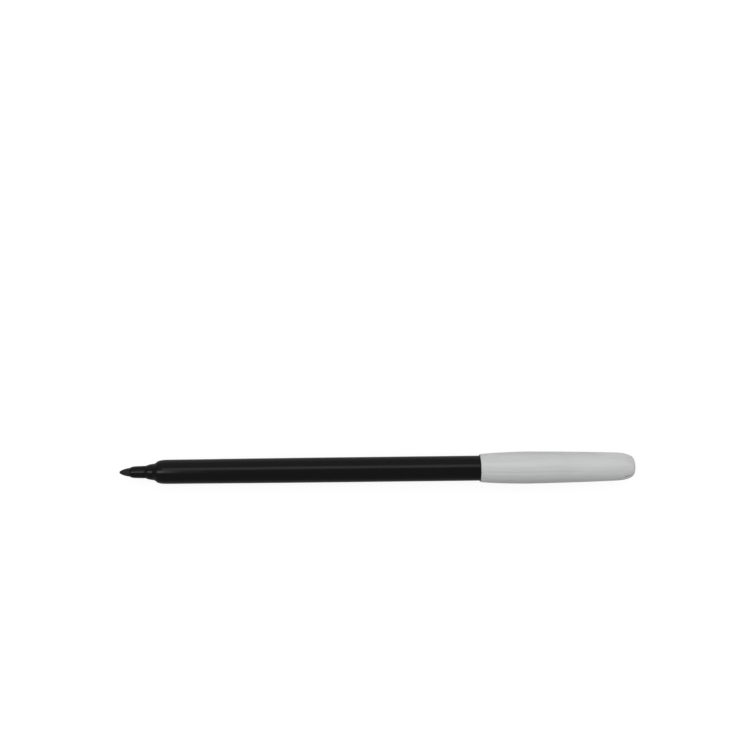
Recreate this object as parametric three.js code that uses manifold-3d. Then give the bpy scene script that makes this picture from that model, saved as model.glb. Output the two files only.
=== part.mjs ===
// A slim felt tip pen with its cap pushed onto the tail of the barrel, as it is while someone writes.
// Millimetres. The axis runs along X, with the writing tip at -X and the crown of the cap at +X, and +Z is up.
// Stations along the axis are counted from the writing tip. The whole pen then moves back by half its length,
// so the origin is on the axis at mid-length. Every piece is turned about the axis from an outline of
// (station, radius) points.
import * as THREE from "three";
import { mergeVertices, toCreasedNormals } from "three/addons/utils/BufferGeometryUtils.js";
import Module from "manifold-3d";

const wasm = await Module();
wasm.setup();

// ---- Driving dimensions ----
const BARREL_RADIUS = 4.0; // at the barrel's widest, which it keeps to its tail
const BARREL_WALL = 0.8;
const NIB_RADIUS = 1.5;
const PEN_LENGTH = 145.7; // writing tip to the back of the end plug, without the cap
const CAP_LENGTH = 49.25;
const CAP_RADIUS = 5.11; // at the cap's widest
const CAP_WALL = 0.91; // there
const POSTED_DEPTH = 30.0; // how far the tail stands inside the cap
const RUNNING_GAP = 0.06; // between the barrel and the cap's ribs
const SEAT_GAP = 0.05; // between pieces that are pressed together
const FACETS = 24; // sides of every turned piece, each wide enough for the pen to lie still on
const CURVE_STEPS = 5; // straight pieces in each curved stretch of an outline

// ---- Stations and radii that more than one piece uses ----
const SEAM = 11.9; // where the nib holder meets the barrel
const SOCKET_RADIUS = 2.3; // of the barrel's front hole, which grips the holder
const BORE_RADIUS = BARREL_RADIUS - BARREL_WALL;
const CORE_START = 19.6;
const CORE_END = 133.4;
const NIB_END = CORE_START + 3.8; // the nib stands this far into the fibre core
const FILM_RADIUS = 2.98;
const FILM_THICKNESS = 0.1;
const CAP_MOUTH = PEN_LENGTH - POSTED_DEPTH;
const CAP_BORE = CAP_RADIUS - CAP_WALL;
const CHAMBER_START = 32.6; // from the cap's mouth, to the narrower chamber that holds the inner cap
const CHAMBER_RADIUS = 3.8;
const CHAMBER_RIB_TOP = CHAMBER_RADIUS - 0.18;

// ---- Materials ----
const plain = (color, roughness) => new THREE.MeshStandardMaterial({ color, roughness, metalness: 0 });
const blackPlastic = plain(0x1b1b1c, 0.35);
const capPlastic = plain(0xc3c5c4, 0.45);
const innerCapPlastic = plain(0xe4e4e0, 0.5);
const inkedFelt = plain(0x0c0c0e, 0.95);
const inkedWadding = plain(0x16161c, 1.0);
const clearFilm = plain(0xd8dcdc, 0.2);

// ---- Turning, joining and cutting ----

// A solid of revolution about X. Its outline closes on itself, or starts and ends on the axis.
function turned(outline) {
  const profile = outline.getPoints(CURVE_STEPS).map((p) => new THREE.Vector2(p.y, p.x));
  return new THREE.LatheGeometry(profile, FACETS).rotateZ(-Math.PI / 2);
}

function solidOf(geometry) {
  const bare = geometry.clone();
  bare.deleteAttribute("normal");
  bare.deleteAttribute("uv");
  const merged = mergeVertices(bare, 1e-4);
  return new wasm.Manifold(
    new wasm.Mesh({
      numProp: 3,
      vertProperties: merged.attributes.position.array,
      triVerts: new Uint32Array(merged.index.array),
    }),
  );
}

function geometryOf(solid) {
  const mesh = solid.getMesh();
  const geometry = new THREE.BufferGeometry();
  geometry.setAttribute("position", new THREE.BufferAttribute(mesh.vertProperties, 3));
  geometry.setIndex(new THREE.BufferAttribute(mesh.triVerts, 1));
  return toCreasedNormals(geometry, Math.PI / 6);
}

// A solid block along the axis from station start to end, between two radii, standing out from the axis in the
// direction that is the given degrees round from +Z towards -Y.
function spoke(start, end, inner, outer, width, degrees) {
  const block = new THREE.BoxGeometry(end - start, width, outer - inner);
  block.translate((start + end) / 2, 0, (inner + outer) / 2);
  block.rotateX(THREE.MathUtils.degToRad(degrees));
  return solidOf(block);
}

// ---- Writing end ----

// Bullet nib: a round tip, a bulging cone, and a rod whose back end stands in the fibre core.
function nib() {
  const tipRadius = 0.52;
  const coneAngle = THREE.MathUtils.degToRad(30); // where the cone leaves the tip
  const chamfer = 0.4;
  const outline = new THREE.Path();
  outline.absarc(tipRadius, 0, tipRadius, Math.PI, Math.PI / 2 + coneAngle, true);
  outline.quadraticCurveTo(1.4, 1.12, 3.3, 1.4);
  outline.quadraticCurveTo(3.9, NIB_RADIUS, 4.5, NIB_RADIUS);
  outline.lineTo(NIB_END - chamfer, NIB_RADIUS);
  outline.lineTo(NIB_END, NIB_RADIUS - chamfer);
  outline.lineTo(NIB_END, 0);
  return turned(outline);
}

// Nib holder: a nose tube that widens slightly, a fine vent groove, a collar that flares to the seam, and a
// spigot that plugs into the barrel.
function nibHolder() {
  const mouth = 3.65;
  const bore = NIB_RADIUS + SEAT_GAP;
  const spigot = SOCKET_RADIUS - SEAT_GAP;
  const spigotEnd = 18.8;
  const chamfer = 0.35;
  const grooveStart = 8.35;
  const grooveEnd = 8.6;
  const grooveRadius = 1.88;
  const flareEnd = SEAM - 0.1;
  const outline = new THREE.Path();
  outline.moveTo(mouth, bore);
  outline.lineTo(mouth, bore + 0.04);
  outline.quadraticCurveTo(mouth + 0.5, 1.86, 5.3, 1.9);
  outline.lineTo(grooveStart, 2.0);
  outline.lineTo(grooveStart, grooveRadius);
  outline.lineTo(grooveEnd, grooveRadius);
  outline.lineTo(grooveEnd, 2.08);
  outline.lineTo(9.7, 2.43);
  outline.lineTo(10.9, 2.62);
  outline.quadraticCurveTo(11.5, 2.72, flareEnd, 2.98);
  outline.lineTo(flareEnd, spigot);
  outline.lineTo(spigotEnd - chamfer, spigot);
  outline.lineTo(spigotEnd, spigot - chamfer);
  outline.lineTo(spigotEnd, bore);
  outline.closePath();
  return turned(outline);
}

// Barrel: a moulded tube, open at the tail, whose rounded front closes in to a socket for the nib holder.
function barrel() {
  const tail = PEN_LENGTH - 1.3; // the end plug's head makes up the rest
  const shoulderEnd = SEAM + 2.5;
  const shoulderRadius = 3.85;
  const fullWidth = 74; // it widens very slightly from the shoulder to here
  const socketEnd = SEAM + 5.3;
  const outline = new THREE.Path();
  outline.moveTo(SEAM, SOCKET_RADIUS);
  outline.lineTo(SEAM, 2.95);
  outline.quadraticCurveTo(SEAM + 0.25, 3.7, shoulderEnd, shoulderRadius);
  outline.quadraticCurveTo((shoulderEnd + fullWidth) / 2, BARREL_RADIUS, fullWidth, BARREL_RADIUS);
  outline.lineTo(tail, BARREL_RADIUS);
  outline.lineTo(tail, BORE_RADIUS);
  outline.lineTo(socketEnd + 2, BORE_RADIUS);
  outline.lineTo(socketEnd, SOCKET_RADIUS);
  outline.closePath();
  return turned(outline);
}

// ---- Ink store ----

// Fibre core, with the pocket that the back end of the nib pushes into it.
function reservoirCore() {
  const radius = FILM_RADIUS - FILM_THICKNESS - 0.03;
  const pocket = NIB_RADIUS + SEAT_GAP;
  const pocketEnd = NIB_END + 0.1;
  const outline = new THREE.Path();
  outline.moveTo(pocketEnd, 0);
  outline.lineTo(pocketEnd, pocket);
  outline.lineTo(CORE_START, pocket);
  outline.lineTo(CORE_START, radius);
  outline.lineTo(CORE_END, radius);
  outline.lineTo(CORE_END, 0);
  return turned(outline);
}

// Film: an open tube round the core, which stands out of it a little at both ends.
function reservoirFilm() {
  const start = CORE_START + 0.4;
  const end = CORE_END - 0.4;
  const outline = new THREE.Path();
  outline.moveTo(start, FILM_RADIUS - FILM_THICKNESS);
  outline.lineTo(start, FILM_RADIUS);
  outline.lineTo(end, FILM_RADIUS);
  outline.lineTo(end, FILM_RADIUS - FILM_THICKNESS);
  outline.closePath();
  return turned(outline);
}

// End plug: a rounded head as wide as the barrel, and a hollow spigot pressed into the barrel's bore.
function endPlug() {
  const face = PEN_LENGTH - 1.25;
  const headRadius = BARREL_RADIUS - 0.05;
  const spigot = BORE_RADIUS - SEAT_GAP;
  const spigotStart = face - 8;
  const hollow = spigot - 0.8;
  const outline = new THREE.Path();
  outline.moveTo(face, 0);
  outline.lineTo(face, hollow);
  outline.lineTo(spigotStart, hollow);
  outline.lineTo(spigotStart, spigot - 0.4);
  outline.lineTo(spigotStart + 1, spigot);
  outline.lineTo(face, spigot);
  outline.lineTo(face, headRadius);
  outline.quadraticCurveTo(PEN_LENGTH, headRadius, PEN_LENGTH, headRadius - 1.1);
  outline.lineTo(PEN_LENGTH, 0);
  return turned(outline);
}

// ---- Cap ----

// Outside, the cap swells from a thin lip to its widest a third of the way up, narrows in a long taper and
// closes in a blunt crown: an ellipse that ends in a flat disc. Inside, a bore for the barrel leads to the
// narrower chamber.
function capOutline() {
  const at = (distance) => CAP_MOUTH + distance;
  const crownCentre = 43.4; // of the ellipse
  const crownLength = CAP_LENGTH - crownCentre;
  const crownHeight = 2.08;
  const discRadius = 2.4;
  const crownTurn = THREE.MathUtils.degToRad(82); // of the ellipse that is used, up to the disc
  const crownStart = at(crownCentre) + crownLength * Math.cos(crownTurn);
  const crownRadius = discRadius + crownHeight * Math.sin(crownTurn);
  const roof = CAP_LENGTH - 1.2;
  const outline = new THREE.Path();
  outline.moveTo(at(0), CAP_BORE + 0.1);
  outline.quadraticCurveTo(at(0.15), 4.5, at(1.4), 4.59);
  outline.quadraticCurveTo(at(6), 5.0, at(14.5), CAP_RADIUS);
  outline.bezierCurveTo(at(20), CAP_RADIUS, at(34), 4.86, crownStart, crownRadius);
  outline.absellipse(at(crownCentre), discRadius, crownLength, crownHeight, crownTurn, 0, true);
  outline.lineTo(at(CAP_LENGTH), 0);
  outline.lineTo(at(roof), 0);
  outline.lineTo(at(roof), 2.2);
  outline.quadraticCurveTo(at(47.4), 3.3, at(44.4), CHAMBER_RADIUS);
  outline.lineTo(at(CHAMBER_START + 0.6), CHAMBER_RADIUS);
  outline.lineTo(at(CHAMBER_START), CAP_BORE);
  outline.lineTo(at(0.4), CAP_BORE);
  outline.closePath();
  return outline;
}

// Six ribs in the bore grip the barrel, and six in the chamber grip the inner cap. Two vents through the
// shoulder of the crown, opposite each other and midway between ribs, let air past.
function capShell() {
  const ribCount = 6;
  const ribPitch = 360 / ribCount;
  const ribTurn = 13; // degrees of the first rib from the top
  const ribWidth = 0.6;
  const ribTop = BARREL_RADIUS + RUNNING_GAP;
  const root = 0.2; // how far a rib runs into the wall
  const boreRib = [CAP_MOUTH + 1.6, CAP_MOUTH + CHAMBER_START + 0.3, ribTop, CAP_BORE + root];
  const chamberRib = [CAP_MOUTH + CHAMBER_START + 0.5, CAP_MOUTH + 44.4, CHAMBER_RIB_TOP, CHAMBER_RADIUS + root];
  const vent = [CAP_MOUTH + 45.4, CAP_MOUTH + 48, 2.3, CAP_RADIUS];
  const ventWidth = 0.6;
  let shell = solidOf(turned(capOutline()));
  for (let i = 0; i < ribCount; i++) {
    const degrees = ribTurn + ribPitch * i;
    shell = shell.add(spoke(...boreRib, ribWidth, degrees));
    shell = shell.add(spoke(...chamberRib, ribWidth, degrees));
  }
  for (const side of [0, 180]) {
    shell = shell.subtract(spoke(...vent, ventWidth, ribTurn + ribPitch / 2 + side));
  }
  return geometryOf(shell);
}

// Inner cap: a soft cup in the chamber. When the cap is on the writing end, the bead inside the cup's mouth
// seals on the nib holder's collar and the cup closes round the nib.
function innerCap() {
  const mouth = CAP_MOUTH + CHAMBER_START + 0.5;
  const end = CAP_MOUTH + 46.4;
  const outer = CHAMBER_RIB_TOP - SEAT_GAP;
  const bead = 2.56;
  const cup = 2.85;
  const floor = end - 0.6;
  const outline = new THREE.Path();
  outline.moveTo(end, 0);
  outline.lineTo(floor, 0);
  outline.lineTo(floor, 2.1);
  outline.lineTo(floor - 2, cup - 0.1);
  outline.lineTo(mouth + 1.4, cup);
  outline.lineTo(mouth + 0.9, bead);
  outline.lineTo(mouth + 0.6, bead);
  outline.lineTo(mouth, bead + 0.35);
  outline.lineTo(mouth, outer - 0.2);
  outline.lineTo(mouth + 0.3, outer);
  outline.lineTo(end - 2.6, outer);
  outline.lineTo(end, outer - 0.75);
  outline.closePath();
  return turned(outline);
}

// ---- The pen ----
const pen = new THREE.Group();
pen.position.x = -(CAP_MOUTH + CAP_LENGTH) / 2;

function place(name, geometry, material) {
  const mesh = new THREE.Mesh(geometry, material);
  mesh.name = name;
  pen.add(mesh);
}

place("nib", nib(), inkedFelt);
place("nib_holder", nibHolder(), blackPlastic);
place("barrel", barrel(), blackPlastic);
place("reservoir_core", reservoirCore(), inkedWadding);
place("reservoir_film", reservoirFilm(), clearFilm);
place("end_plug", endPlug(), blackPlastic);
place("cap_shell", capShell(), capPlastic);
place("inner_cap", innerCap(), innerCapPlastic);

const root = new THREE.Group();
root.add(pen);

export default root;
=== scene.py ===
"""A slim felt tip pen with its cap posted on its tail, lying on a white table, seen from above.

Every piece is turned again, finely, from the outline of its CAD node, so its size comes from the frame. The
small details of the mouldings are added to it, and their sizes are named below.

Metres. The pen's axis is X: the writing tip is at -X and the crown of the cap at +X. A station is a place
along X. Angles round the axis are in degrees from +Z, the side that faces the camera, towards -Y.
"""

import math

import bmesh
import bpy
import numpy as np
from mathutils import Matrix, Vector


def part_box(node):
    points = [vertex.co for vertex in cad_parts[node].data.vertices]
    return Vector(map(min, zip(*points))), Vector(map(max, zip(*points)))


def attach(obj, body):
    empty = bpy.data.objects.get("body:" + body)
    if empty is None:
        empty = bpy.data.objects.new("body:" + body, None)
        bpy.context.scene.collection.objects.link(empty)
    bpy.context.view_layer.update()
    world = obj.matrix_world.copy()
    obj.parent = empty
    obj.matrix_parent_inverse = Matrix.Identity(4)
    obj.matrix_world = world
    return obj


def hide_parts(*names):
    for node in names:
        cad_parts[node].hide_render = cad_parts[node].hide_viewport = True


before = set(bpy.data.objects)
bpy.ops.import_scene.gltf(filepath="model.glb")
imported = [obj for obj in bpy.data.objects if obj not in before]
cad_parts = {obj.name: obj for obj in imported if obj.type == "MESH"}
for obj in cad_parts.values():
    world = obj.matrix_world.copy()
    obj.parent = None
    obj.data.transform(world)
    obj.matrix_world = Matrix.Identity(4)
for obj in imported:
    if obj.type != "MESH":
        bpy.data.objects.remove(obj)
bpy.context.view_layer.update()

MM = 0.001

# ---- Places that the frame gives ----
CAP_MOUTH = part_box("cap_shell")[0].x
CAP_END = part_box("cap_shell")[1].x
CAP_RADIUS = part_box("cap_shell")[1].z
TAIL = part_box("end_plug")[1].x
CUP_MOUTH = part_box("inner_cap")[0].x

# ---- Fineness of the turned meshes ----
ON_PLANE = 1e-6  # a corner this close to the plane of an outline is on it
SHARP_TURN = math.radians(24)  # outline bends above this are edges, which get a small round
EDGE_SHARE = 0.3  # of the shorter leg, at most, that the round of an edge takes
EDGE_ROUND = 0.06 * MM
BEND_REACH = 2  # limits a bend's pull on its longer leg to this many times its shorter leg
TURN_STEP = math.radians(7)  # between two rows of a bend
LEG_STEPS = 6  # rows in each leg of an outline, at least, unless it is a short one
SHORT_LEG = 0.2 * MM
POLE = 1e-7  # a radius below this is on the axis

# ---- Details of the mouldings ----
RIB_ANGLES = [13 + 60 * i for i in range(6)]
RIB_WIDTH = 0.6 * MM
RIB_HEIGHT = 0.14 * MM
RIB_START = CAP_MOUTH + 1.6 * MM
RIB_RISE = 0.4 * MM  # along the axis, from nothing to full height
BETWEEN_RIBS = 30  # an angle where the cap's outline crosses no rib or vent
SINK_HALF_WIDTH = 0.4 * MM  # of the shallow groove that shrinkage leaves on the cap outside each rib
SINK_DEPTH = 0.06 * MM
SINK_FADE = 3 * MM  # along the axis, up to the mouth of the inner cap
LIP = 0.5 * MM  # the cap's outer details fade in over this much of its mouth
PARTING_ANGLES = (101, 281)
PARTING_HALF_WIDTH = 0.07 * MM
PARTING_HEIGHT = 0.035 * MM
VENT_ANGLES = (43, 223)
VENT_LENGTH = 2.6 * MM
VENT_WIDTH = 0.6 * MM
VENT_CENTRE = CAP_END - 2.55 * MM
VENT_FLOOR = 2.2 * MM  # from the axis, in the hollow of the cap
VENT_SIDES = 32  # of the cutter, round its outline
GATE_RADIUS = 0.55 * MM
GATE_DEPTH = 0.12 * MM
GATE_REACH = 0.5 * MM  # a gate mark is only this close to the end of its piece
FILM_SEAM_ANGLE = 160
FILM_SEAM_HALF_WIDTH = 0.12  # radians
FILM_SEAM_HEIGHT = 0.04 * MM

# ---- Surroundings ----
TABLE_HALF = 4.0  # half the side of the square table
TABLE_GAP = 0.01 * MM  # under the pen


# ---- Outlines ----

def cad_outline(node, degrees):
    """The CAD node's outline as (station, radius) corners, from its edges in a half plane through the axis.

    The second value says whether the outline closes on itself. An open one starts and ends on the axis.
    """
    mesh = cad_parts[node].data
    turn = math.radians(degrees)
    points = np.array([vertex.co for vertex in mesh.vertices])
    radius = points[:, 2] * math.cos(turn) - points[:, 1] * math.sin(turn)
    aside = points[:, 1] * math.cos(turn) + points[:, 2] * math.sin(turn)
    in_plane = (abs(aside) < ON_PLANE) & (radius > -ON_PLANE)
    steps = np.round(np.column_stack((points[:, 0], radius)) / ON_PLANE).astype(int)
    keys = [tuple(step) for step in steps]
    next_to = {}
    for edge in mesh.edges:
        first, second = edge.vertices
        if in_plane[first] and in_plane[second] and keys[first] != keys[second]:
            next_to.setdefault(keys[first], set()).add(keys[second])
            next_to.setdefault(keys[second], set()).add(keys[first])
    ends = sorted(key for key, others in next_to.items() if len(others) == 1)
    chain = [ends[0] if ends else min(next_to)]
    while len(chain) < len(next_to):
        chain.append(min(next_to[chain[-1]] - set(chain)))
    return np.array(chain) * ON_PLANE, not ends


def unit(vector):
    return vector / np.linalg.norm(vector)


def knots_of(corners, closed):
    """(point, direction, reach) along the outline: one knot at a gentle bend, and two round an edge.

    The reach limits how hard the knot's direction pulls the curve, so that a long leg next to a short one is
    nearly straight. A long leg between an edge and a gentle bend still bows a little.
    """
    count = len(corners)
    knots = []
    for i, corner in enumerate(corners):
        before = corner - corners[i - 1]
        after = corners[(i + 1) % count] - corner
        lengths = np.linalg.norm(before), np.linalg.norm(after)
        if not closed and i in (0, count - 1):
            # on the axis the surface crosses square, as a dome or a flat end does
            across = np.array((0.0, 1.0 if i == 0 else -1.0))
            knots.append((corner, across, lengths[1] if i == 0 else lengths[0]))
            continue
        turn = math.acos(np.clip(unit(before) @ unit(after), -1, 1))
        if turn > SHARP_TURN:
            cut = min(EDGE_ROUND, EDGE_SHARE * min(lengths))
            knots.append((corner - unit(before) * cut, unit(before), BEND_REACH * cut))
            knots.append((corner + unit(after) * cut, unit(after), BEND_REACH * cut))
        else:
            direction = unit(unit(before) / lengths[0] + unit(after) / lengths[1])
            knots.append((corner, direction, BEND_REACH * min(lengths)))
    if closed:
        knots.append(knots[0])
    return knots


def fine_rows(corners, closed, step):
    """Points along a smooth curve through the outline's knots, about step apart at most."""
    knots = knots_of(corners, closed)
    rows = []
    for (start, leave, leave_reach), (end, arrive, arrive_reach) in zip(knots, knots[1:]):
        chord = np.linalg.norm(end - start)
        bend = math.acos(np.clip(leave @ arrive, -1, 1))
        fewest = LEG_STEPS if chord > SHORT_LEG else 1
        pieces = max(math.ceil(bend / TURN_STEP), math.ceil(chord / step), fewest)
        t = np.arange(pieces)[:, None] / pieces
        rows.append(
            (2 * t**3 - 3 * t**2 + 1) * start
            + (t**3 - 2 * t**2 + t) * min(chord, leave_reach) * leave
            + (3 * t**2 - 2 * t**3) * end
            + (t**3 - t**2) * min(chord, arrive_reach) * arrive
        )
    if not closed:
        rows.append(corners[-1:])
    return np.concatenate(rows)


def row_normals(rows, closed):
    """Unit normals of the rows, pointing out of the material."""
    if closed:
        along = np.roll(rows, -1, axis=0) - np.roll(rows, 1, axis=0)
    else:
        along = np.gradient(rows, axis=0)
    along /= np.linalg.norm(along, axis=1)[:, None]
    ahead = np.roll(rows, -1, axis=0)
    area = (rows[:, 0] * ahead[:, 1] - ahead[:, 0] * rows[:, 1]).sum() / 2
    side = 1 if area > 0 else -1
    return np.column_stack((along[:, 1], -along[:, 0])) * side


# ---- Turned meshes ----

def columns(count, places=()):
    """Angles round the axis, with extra ones close to each (degrees, half width in degrees) place."""
    shares = (-1.6, -1, -0.5, 0, 0.5, 1, 1.6)
    angles = set(np.round(np.arange(count) * 360 / count, 4))
    for centre, half_width in places:
        angles.update(round((centre + half_width * share) % 360, 4) for share in shares)
    return np.radians(sorted(angles))


def turned_mesh(name, rows, closed, angles, relief):
    """Turns the rows about X, with each point moved along its normal by relief(rows, normals, angles)."""
    normals = row_normals(rows, closed)
    lift = relief(rows, normals, angles)
    station = rows[:, :1] + normals[:, :1] * lift
    radius = rows[:, 1:] + normals[:, 1:] * lift
    points = np.stack((station, -radius * np.sin(angles), radius * np.cos(angles)), axis=-1)
    mesh = bmesh.new()
    rings = []
    for row, ring in zip(rows, points):
        if row[1] < POLE:
            rings.append([mesh.verts.new((ring[0][0], 0, 0))])
        else:
            rings.append([mesh.verts.new(point) for point in ring])
    if closed:
        rings.append(rings[0])
    for near, far in zip(rings, rings[1:]):
        for i in range(len(angles)):
            j = (i + 1) % len(angles)
            corners = [near[i % len(near)], near[j % len(near)], far[j % len(far)], far[i % len(far)]]
            mesh.faces.new(dict.fromkeys(corners))
    bmesh.ops.recalc_face_normals(mesh, faces=mesh.faces)
    data = bpy.data.meshes.new(name)
    mesh.to_mesh(data)
    mesh.free()
    return data


def add_object(name, data):
    data.shade_smooth()
    piece = bpy.data.objects.new(name, data)
    bpy.context.scene.collection.objects.link(piece)
    weighted = piece.modifiers.new("even_normals", "WEIGHTED_NORMAL")
    weighted.weight = 100
    return piece


# ---- Relief: how far each point of a turned piece stands out of its outline ----

# A row is (station, radius), and its normal has the same two parts.

def smooth_step(value, low, high):
    t = np.clip((value - low) / (high - low), 0, 1)
    return t * t * (3 - 2 * t)


def bump_at(angles, degrees, half_width):
    """1 close to the angle, and 0 just past half_width (radians, one for each row) to either side."""
    away = abs((angles - math.radians(degrees) + math.pi) % (2 * math.pi) - math.pi)
    return 1 - smooth_step(away[None, :] / half_width[:, None], 0.6, 1.2)


def ripples(rows, angles, seed, count, height, lobes, drift):
    """A sum of waves round the axis whose crests wander along it, as fibres and drawn surfaces have."""
    random = np.random.default_rng(seed)
    total = np.zeros((len(rows), len(angles)))
    for _ in range(count):
        waves = random.integers(*lobes)
        phase = random.uniform(0, 2 * math.pi)
        pitch = random.uniform(*drift)
        sway = random.uniform(0.2, 1.0) * np.sin(rows[:, :1] / pitch + random.uniform(0, 2 * math.pi))
        total += np.sin(waves * angles[None, :] + phase + sway) / math.sqrt(count)
    return total * height


def smooth_moulding(rows, normals, angles):
    """The faint unevenness of a thin moulded tube."""
    return ripples(rows, angles, seed=3, count=5, height=0.004 * MM, lobes=(2, 6), drift=(6 * MM, 14 * MM))


def felt(rows, normals, angles):
    """Bundled fibres along the nib, worn smooth at its point."""
    coarse = ripples(
        rows, angles, seed=11, count=9, height=0.012 * MM, lobes=(14, 46), drift=(0.5 * MM, 1.4 * MM),
    )
    fine = ripples(
        rows, angles, seed=12, count=9, height=0.006 * MM, lobes=(50, 90), drift=(0.15 * MM, 0.5 * MM),
    )
    return (coarse + fine) * smooth_step(rows[:, 1:], 0.1 * MM, 0.9 * MM)


def wadding(rows, normals, angles):
    """Loose fibres along the rod."""
    return ripples(rows, angles, seed=21, count=10, height=0.01 * MM, lobes=(20, 60), drift=(2 * MM, 6 * MM))


def wrap(rows, normals, angles):
    """A film wrapped round the wadding, with a raised seam where it overlaps."""
    half_width = np.full(len(rows), FILM_SEAM_HALF_WIDTH)
    seam = bump_at(angles, FILM_SEAM_ANGLE, half_width) * FILM_SEAM_HEIGHT
    crinkles = ripples(
        rows, angles, seed=31, count=6, height=0.01 * MM, lobes=(3, 9), drift=(1 * MM, 5 * MM),
    )
    return (seam + crinkles) * (normals[:, 1:] > 0)


def gate_mark(rows, normals):
    """The small round dimple that the mould's gate leaves on an end that faces +X."""
    dimple = 1 - smooth_step(rows[:, 1:], 0.7 * GATE_RADIUS, GATE_RADIUS)
    return -GATE_DEPTH * dimple * (normals[:, :1] > 0.9)


def plug_details(rows, normals, angles):
    """The gate mark on the end plug's head."""
    return gate_mark(rows, normals) * (rows[:, :1] > TAIL - GATE_REACH) + np.zeros(len(angles))


def lines_at(angles, places, half_width, radius):
    """Where lines along the piece are, at places in degrees round it: 1 on a line, and 0 away from it."""
    return sum(bump_at(angles, place, half_width / radius) for place in places)


def cap_details(rows, normals, angles):
    """Ribs inside, sink marks outside them, two parting lines, faint unevenness and a gate mark."""
    station = rows[:, :1]
    radius = np.maximum(rows[:, 1], 0.5 * MM)  # not zero, at the middle of the crown
    ribbed = smooth_step(station, RIB_START, RIB_START + RIB_RISE)
    inside = (normals[:, 1:] < -0.7) * ribbed
    outside = (normals[:, 1:] > 0.3) * smooth_step(station, CAP_MOUTH, CAP_MOUTH + LIP)
    sunk = outside * ribbed * (1 - smooth_step(station, CUP_MOUTH - SINK_FADE, CUP_MOUTH))
    relief = RIB_HEIGHT * lines_at(angles, RIB_ANGLES, RIB_WIDTH / 2, radius) * inside
    relief -= SINK_DEPTH * lines_at(angles, RIB_ANGLES, SINK_HALF_WIDTH, radius) * sunk
    relief += PARTING_HEIGHT * lines_at(angles, PARTING_ANGLES, PARTING_HALF_WIDTH, radius) * outside
    swell = ripples(rows, angles, seed=5, count=5, height=0.004 * MM, lobes=(2, 5), drift=(7 * MM, 16 * MM))
    relief += swell * (normals[:, 1:] > 0)
    return relief + gate_mark(rows, normals) * (station > CAP_END - GATE_REACH)


def cut_vents(data):
    """Cuts a slot with round ends through the shoulder of the crown at each vent angle."""
    cutter = bmesh.new()
    straight = (VENT_LENGTH - VENT_WIDTH) / 2
    for degrees in VENT_ANGLES:
        ring = []
        for i in range(VENT_SIDES):
            angle = (i + 0.5) / VENT_SIDES * 2 * math.pi
            shift = straight if math.cos(angle) > 0 else -straight
            x = VENT_CENTRE + shift + VENT_WIDTH / 2 * math.cos(angle)
            ring.append((x, VENT_WIDTH / 2 * math.sin(angle)))
        floor = [cutter.verts.new((x, y, VENT_FLOOR)) for x, y in ring]
        top = [cutter.verts.new((x, y, 1.1 * CAP_RADIUS)) for x, y in ring]  # clear of the cap
        cutter.faces.new(floor)
        cutter.faces.new(top)
        for i in range(VENT_SIDES):
            j = (i + 1) % VENT_SIDES
            cutter.faces.new((floor[i], floor[j], top[j], top[i]))
        turn = Matrix.Rotation(math.radians(degrees), 3, "X")
        bmesh.ops.rotate(cutter, cent=(0, 0, 0), matrix=turn, verts=floor + top)
    bmesh.ops.recalc_face_normals(cutter, faces=cutter.faces)
    cutter_data = bpy.data.meshes.new("vent_cutter")
    cutter.to_mesh(cutter_data)
    cutter.free()
    cutting = bpy.data.objects.new("vent_cutter", cutter_data)
    whole = bpy.data.objects.new("uncut_cap", data)
    for item in (cutting, whole):
        bpy.context.scene.collection.objects.link(item)
    cut = whole.modifiers.new("vents", "BOOLEAN")
    cut.operation = "DIFFERENCE"
    cut.solver = "EXACT"
    cut.object = cutting
    graph = bpy.context.evaluated_depsgraph_get()
    result = bpy.data.meshes.new_from_object(whole.evaluated_get(graph))
    for item in (cutting, whole):
        bpy.data.objects.remove(item)
    return result


# ---- Materials ----

def add_node(tree, kind, inputs, **settings):
    """A shader node with its settings and inputs, each input a value or another node's output."""
    node = tree.nodes.new("ShaderNode" + kind)
    for setting, value in settings.items():
        setattr(node, setting, value)
    for place, value in inputs.items():
        if isinstance(value, bpy.types.NodeSocket):
            tree.links.new(value, node.inputs[place])
        else:
            node.inputs[place].default_value = value
    return node


def noise(tree, scale, stretch=(1, 1, 1), detail=2.0):
    """Noise fixed to the piece. scale is in cycles per metre, times the stretch along each axis."""
    place = tree.nodes.get("place") or tree.nodes.new("ShaderNodeTexCoord")
    place.name = "place"
    scales = [scale * share for share in stretch]
    mapping = add_node(tree, "Mapping", {"Vector": place.outputs["Object"], "Scale": scales})
    texture = add_node(tree, "TexNoise", {"Vector": mapping.outputs[0], "Scale": 1.0, "Detail": detail})
    return texture.outputs["Fac"]


def remap(tree, value, low, high, to_low, to_high):
    """The value with low..high stretched to to_low..to_high, and held there beyond."""
    inputs = {"Value": value, "From Min": low, "From Max": high, "To Min": to_low, "To Max": to_high}
    return add_node(tree, "MapRange", inputs, clamp=True).outputs["Result"]


def mix_colors(tree, share, first, second):
    """share is 0 for the first colour and 1 for the second. A colour is three numbers or an output."""
    node = add_node(tree, "Mix", {"Factor": share}, data_type="RGBA")
    color_inputs = [socket for socket in node.inputs if socket.type == "RGBA"]
    for socket, color in zip(color_inputs, (first, second)):
        if isinstance(color, bpy.types.NodeSocket):
            tree.links.new(color, socket)
        else:
            socket.default_value = (*color, 1)
    return next(socket for socket in node.outputs if socket.type == "RGBA")


def bump(tree, height, distance, below=None):
    """A normal bent by the height, which is the distance where it is 1, on top of the normal below."""
    inputs = {"Height": height, "Distance": distance, "Strength": 1.0}
    if below is not None:
        inputs["Normal"] = below
    return add_node(tree, "Bump", inputs).outputs["Normal"]


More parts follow.
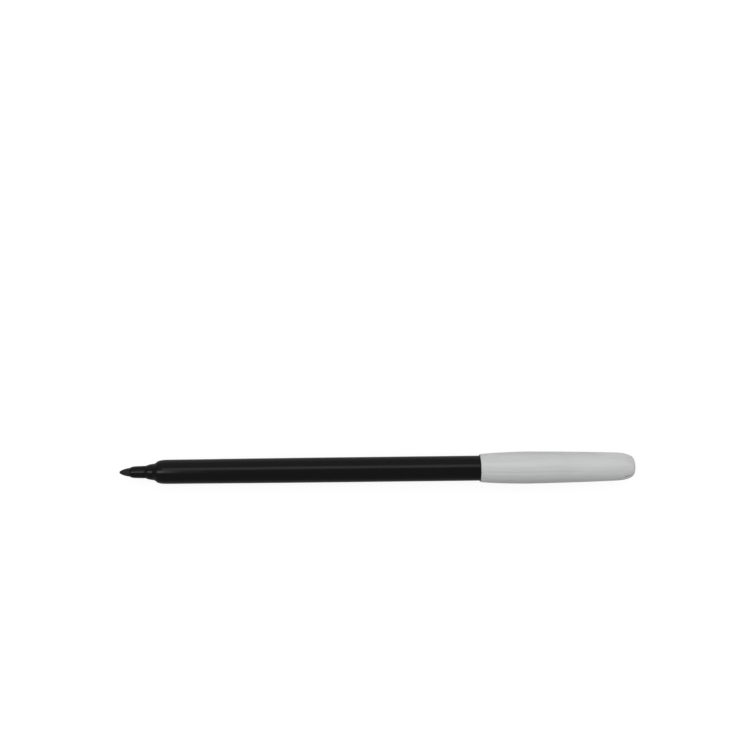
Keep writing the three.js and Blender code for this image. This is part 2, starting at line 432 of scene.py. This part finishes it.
def new_material(name):
    """An empty material with its shader, which is the principled one."""
    material = bpy.data.materials.new(name)
    material.use_nodes = True
    tree = material.node_tree
    tree.nodes.clear()
    shader = tree.nodes.new("ShaderNodeBsdfPrincipled")
    output = tree.nodes.new("ShaderNodeOutputMaterial")
    tree.links.new(shader.outputs["BSDF"], output.inputs["Surface"])
    return material, tree, shader


def set_inputs(tree, shader, inputs):
    for place, value in inputs.items():
        if isinstance(value, bpy.types.NodeSocket):
            tree.links.new(value, shader.inputs[place])
        else:
            shader.inputs[place].default_value = value


def black_plastic():
    """Glossy moulded plastic with soft streaks along it, dulled by rubbing where the cap slides on."""
    material, tree, shader = new_material("black_plastic")
    streaks = noise(tree, 1400, (0.02, 1, 1), detail=3.0)
    cloud = noise(tree, 160)
    fine = noise(tree, 9000)
    place = tree.nodes["place"]
    along = add_node(tree, "SeparateXYZ", {"Vector": place.outputs["Object"]}).outputs["X"]
    rubbed = remap(tree, along, CAP_MOUTH - 1 * MM, CAP_MOUTH + 2 * MM, 0.0, 0.12)
    polish = remap(tree, streaks, 0.3, 0.7, 0.13, 0.19)
    roughness = add_node(tree, "Math", {0: polish, 1: rubbed}, operation="ADD").outputs[0]
    swell = bump(tree, noise(tree, 70, (1, 2.4, 2.4), detail=1.0), 0.06 * MM)
    flow = bump(tree, streaks, 0.008 * MM, swell)
    grain = bump(tree, fine, 0.0012 * MM, flow)
    set_inputs(tree, shader, {
        "Base Color": mix_colors(tree, cloud, (0.0040, 0.0040, 0.0043), (0.0058, 0.0058, 0.0061)),
        "Roughness": roughness,
        "Specular IOR Level": 0.15,
        "Normal": grain,
    })
    return material


def cap_plastic():
    """Pale grey moulded plastic with patches of flow streaks, a fine texture, and painted shade in its
    recesses.
    """
    material, tree, shader = new_material("cap_plastic")
    streaks = noise(tree, 1400, (0.03, 1, 1))
    patches = remap(tree, noise(tree, 90, (0.5, 1, 1)), 0.4, 0.6, 0.2, 1.0)
    drawn = add_node(tree, "Math", {0: streaks, 1: patches}, operation="MULTIPLY").outputs[0]
    polish = remap(tree, noise(tree, 700, (0.2, 1, 1), detail=3.0), 0.3, 0.7, 0.34, 0.46)
    swell = bump(tree, noise(tree, 60, (1, 2, 2), detail=1.0), 0.05 * MM)
    flow = bump(tree, drawn, 0.07 * MM, swell)
    texture = bump(tree, noise(tree, 7000, detail=3.0), 0.003 * MM, flow)
    # painted shade: where ambient occlusion finds the cap enclosed (the vent slots, its inside, the crevice
    # at its mouth) the colour goes towards dark grey
    open_air = add_node(tree, "AmbientOcclusion", {"Distance": 0.8 * MM}, samples=8).outputs["AO"]
    paleness = remap(tree, drawn, 0.1, 0.55, 0, 1)
    plastic_colour = mix_colors(tree, paleness, (0.560, 0.568, 0.565), (0.626, 0.633, 0.630))
    painted_recess_shade = remap(tree, open_air, 0.1, 0.45, 1, 0)
    set_inputs(tree, shader, {
        "Base Color": mix_colors(tree, painted_recess_shade, plastic_colour, (0.24, 0.24, 0.24)),
        "Roughness": polish,
        "Specular IOR Level": 0.45,
        "Subsurface Weight": 0.25,
        "Subsurface Radius": (1.0, 1.0, 0.95),
        "Subsurface Scale": 0.5 * MM,
        "Normal": texture,
    })
    return material


def soft_plastic():
    """Unpigmented soft plastic of the inner cap."""
    material, tree, shader = new_material("soft_plastic")
    cloud = noise(tree, 300)
    set_inputs(tree, shader, {
        "Base Color": mix_colors(tree, cloud, (0.70, 0.70, 0.66), (0.78, 0.78, 0.75)),
        "Roughness": remap(tree, cloud, 0.3, 0.7, 0.42, 0.52),
        "Subsurface Weight": 0.5,
        "Subsurface Radius": (1.0, 0.95, 0.85),
        "Subsurface Scale": 0.8 * MM,
        "Normal": bump(tree, noise(tree, 5000), 0.004 * MM),
    })
    return material


def inked_fibre(name, dark, light):
    """Fibres along the axis soaked with ink: matte, with a slight sheen on the raised ones."""
    material, tree, shader = new_material(name)
    fibres = noise(tree, 9000, (0.06, 1, 1), detail=3.0)
    patches = noise(tree, 1300, (0.5, 1, 1))
    set_inputs(tree, shader, {
        "Base Color": mix_colors(tree, remap(tree, fibres, 0.35, 0.7, 0.0, 1.0), dark, light),
        "Roughness": remap(tree, patches, 0.3, 0.7, 0.62, 0.85),
        "Specular IOR Level": 0.35,
        "Sheen Weight": 0.08,
        "Sheen Roughness": 0.5,
        "Normal": bump(tree, fibres, 0.03 * MM),
    })
    return material


def clear_film():
    """Thin crinkled plastic film that shows the wadding through it."""
    material, tree, shader = new_material("clear_film")
    crinkle = noise(tree, 1500, (0.3, 1, 1), detail=3.0)
    set_inputs(tree, shader, {
        "Base Color": mix_colors(tree, crinkle, (0.66, 0.68, 0.69), (0.78, 0.80, 0.80)),
        "Roughness": remap(tree, crinkle, 0.3, 0.7, 0.12, 0.3),
        "Alpha": 0.55,
        "Normal": bump(tree, crinkle, 0.02 * MM),
    })
    return material


# ---- Pieces ----

def add_piece(name, node, body, material, step, angles, relief, cut=None):
    """Stands a fine turned mesh in for a CAD node. step is between its rows along the outline."""
    corners, closed = cad_outline(node, BETWEEN_RIBS)
    data = turned_mesh(name, fine_rows(corners, closed, step), closed, angles, relief)
    if cut:
        data = cut(data)
    piece = add_object(name, data)
    data.materials.clear()
    data.materials.append(material)
    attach(piece, body)
    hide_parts(node)


def add_pen():
    """The body that holds the nib and the ink."""
    black = black_plastic()
    felt_fibre = inked_fibre("inked_felt", (0.004, 0.004, 0.005), (0.011, 0.011, 0.012))
    wadding_fibre = inked_fibre("inked_wadding", (0.004, 0.004, 0.007), (0.014, 0.014, 0.020))
    add_piece(
        "barrel_tube", "barrel", "pen", black,
        step=1.0 * MM, angles=columns(144), relief=smooth_moulding,
    )
    add_piece(
        "nib_holder_moulding", "nib_holder", "pen", black,
        step=0.5 * MM, angles=columns(128), relief=smooth_moulding,
    )
    add_piece(
        "end_plug_moulding", "end_plug", "pen", black,
        step=0.5 * MM, angles=columns(128), relief=plug_details,
    )
    add_piece(
        "felt_nib", "nib", "pen", felt_fibre,
        step=0.2 * MM, angles=columns(240), relief=felt,
    )
    add_piece(
        "ink_wadding", "reservoir_core", "pen", wadding_fibre,
        step=1.0 * MM, angles=columns(160), relief=wadding,
    )
    add_piece(
        "wadding_film", "reservoir_film", "pen", clear_film(),
        step=1.0 * MM, angles=columns(96), relief=wrap,
    )


def add_cap():
    """The cap, and the soft cup inside it. The cap has extra columns at its fine lines."""
    lines = [(place, math.degrees(PARTING_HALF_WIDTH / CAP_RADIUS)) for place in PARTING_ANGLES]
    lines += [(place, math.degrees(SINK_HALF_WIDTH / CAP_RADIUS)) for place in RIB_ANGLES]
    add_piece(
        "cap_moulding", "cap_shell", "cap", cap_plastic(),
        step=0.5 * MM, angles=columns(192, lines), relief=cap_details, cut=cut_vents,
    )
    add_piece(
        "inner_cap_cup", "inner_cap", "cap", soft_plastic(),
        step=0.5 * MM, angles=columns(96), relief=smooth_moulding,
    )


# ---- Table, light and camera ----

def add_table():
    """A table that the pen rests on, touching the cap's widest ring and the barrel's front shoulder.

    The camera sees it white. To the pen it is a grey table with painted light towards the window's side and
    painted shade away from it.
    """
    material, tree, shader = new_material("white_table")
    rays = add_node(tree, "LightPath", {})
    place = add_node(tree, "TexCoord", {})
    across = add_node(tree, "SeparateXYZ", {"Vector": place.outputs["Object"]}).outputs["Y"]
    # painted light and shade: the grey that the pen reflects and gets bounce from runs from dark at -Y to
    # light towards the window at +Y
    painted_window_light = remap(tree, across, -20 * MM, 20 * MM, 0, 1)
    grey = mix_colors(tree, painted_window_light, (0.48, 0.48, 0.48), (0.75, 0.75, 0.75))
    seen = rays.outputs["Is Camera Ray"]
    set_inputs(tree, shader, {
        "Base Color": mix_colors(tree, seen, grey, (0.15, 0.15, 0.15)),
        "Emission Color": (1, 1, 1, 1),
        "Emission Strength": remap(tree, seen, 0, 1, 0.0, 0.89),
        "Roughness": 0.9,
        "Specular IOR Level": 0.1,
    })
    data = bpy.data.meshes.new("table_top")
    sides = ((-1, -1), (1, -1), (1, 1), (-1, 1))
    corners = [(x * TABLE_HALF, y * TABLE_HALF, 0) for x, y in sides]
    data.from_pydata(corners, [], [(0, 1, 2, 3)])
    data.materials.append(material)
    table = bpy.data.objects.new("table_top", data)
    bpy.context.scene.collection.objects.link(table)
    cap_corners, _ = cad_outline("cap_shell", BETWEEN_RIBS)
    barrel_corners, _ = cad_outline("barrel", BETWEEN_RIBS)
    wide_station, wide_radius = max(cap_corners, key=lambda corner: corner[1])
    slope = min(
        (wide_radius - radius) / (wide_station - station)
        for station, radius in barrel_corners
        if station < CAP_MOUTH
    )
    table.rotation_euler = (0, math.atan(slope), 0)
    table.location = (wide_station, 0, -wide_radius - TABLE_GAP)


def add_light(name, place, size, brightness):
    """A soft rectangular light along the pen, facing its axis.

    Brightness 1 all round would light a white thing to white.
    """
    data = bpy.data.lights.new(name, "AREA")
    data.shape = "RECTANGLE"
    data.size, data.size_y = size
    data.energy = brightness * math.pi * data.size * data.size_y
    light = bpy.data.objects.new(name, data)
    light.location = place
    light.rotation_euler = (-math.atan2(place[1], place[2]), 0, 0)
    light.visible_camera = False
    bpy.context.scene.collection.objects.link(light)


def add_world():
    """Dim surroundings for the pen, and a white background where the table ends."""
    world = bpy.data.worlds.new("studio")
    bpy.context.scene.world = world
    world.use_nodes = True
    tree = world.node_tree
    tree.nodes.clear()
    rays = add_node(tree, "LightPath", {})
    dim = add_node(tree, "Background", {"Color": (1, 1, 1, 1), "Strength": 0.36})
    white = add_node(tree, "Background", {"Color": (1, 1, 1, 1), "Strength": 1.0})
    inputs = {0: rays.outputs["Is Camera Ray"], 1: dim.outputs[0], 2: white.outputs[0]}
    mix = add_node(tree, "MixShader", inputs)
    output = add_node(tree, "OutputWorld", {})
    tree.links.new(mix.outputs[0], output.inputs["Surface"])


def add_camera():
    """Looks straight down at the table, with the pen below the middle of the frame."""
    data = bpy.data.cameras.new("camera")
    data.sensor_width = 36
    data.lens = 38.4
    camera = bpy.data.objects.new("camera", data)
    distance = 257 * MM
    aside = -0.395 * MM
    above = 30.3 * MM
    roll = math.radians(-0.68)
    right = Vector((math.cos(roll), math.sin(roll), 0))
    up = Vector((-math.sin(roll), math.cos(roll), 0))
    camera.location = right * aside + up * above + Vector((0, 0, distance))
    camera.rotation_euler = (0, 0, roll)
    data.clip_start = 0.01
    bpy.context.scene.collection.objects.link(camera)
    bpy.context.scene.camera = camera


add_pen()
add_cap()
add_table()
add_light("left_softbox", (-0.55, 0.085, 0.745), (0.56, 0.28), 4.3)
add_light("right_softbox", (0.62, 0.39, 0.70), (1.96, 0.33), 1.80)
add_light("window", (0.0, 0.78, 0.45), (1.6, 0.8), 0.28)
add_light("end_softbox", (0.70, -0.10, 0.40), (0.5, 0.5), 1.3)
add_world()
add_camera()
bpy.context.scene.view_settings.view_transform = "Standard"
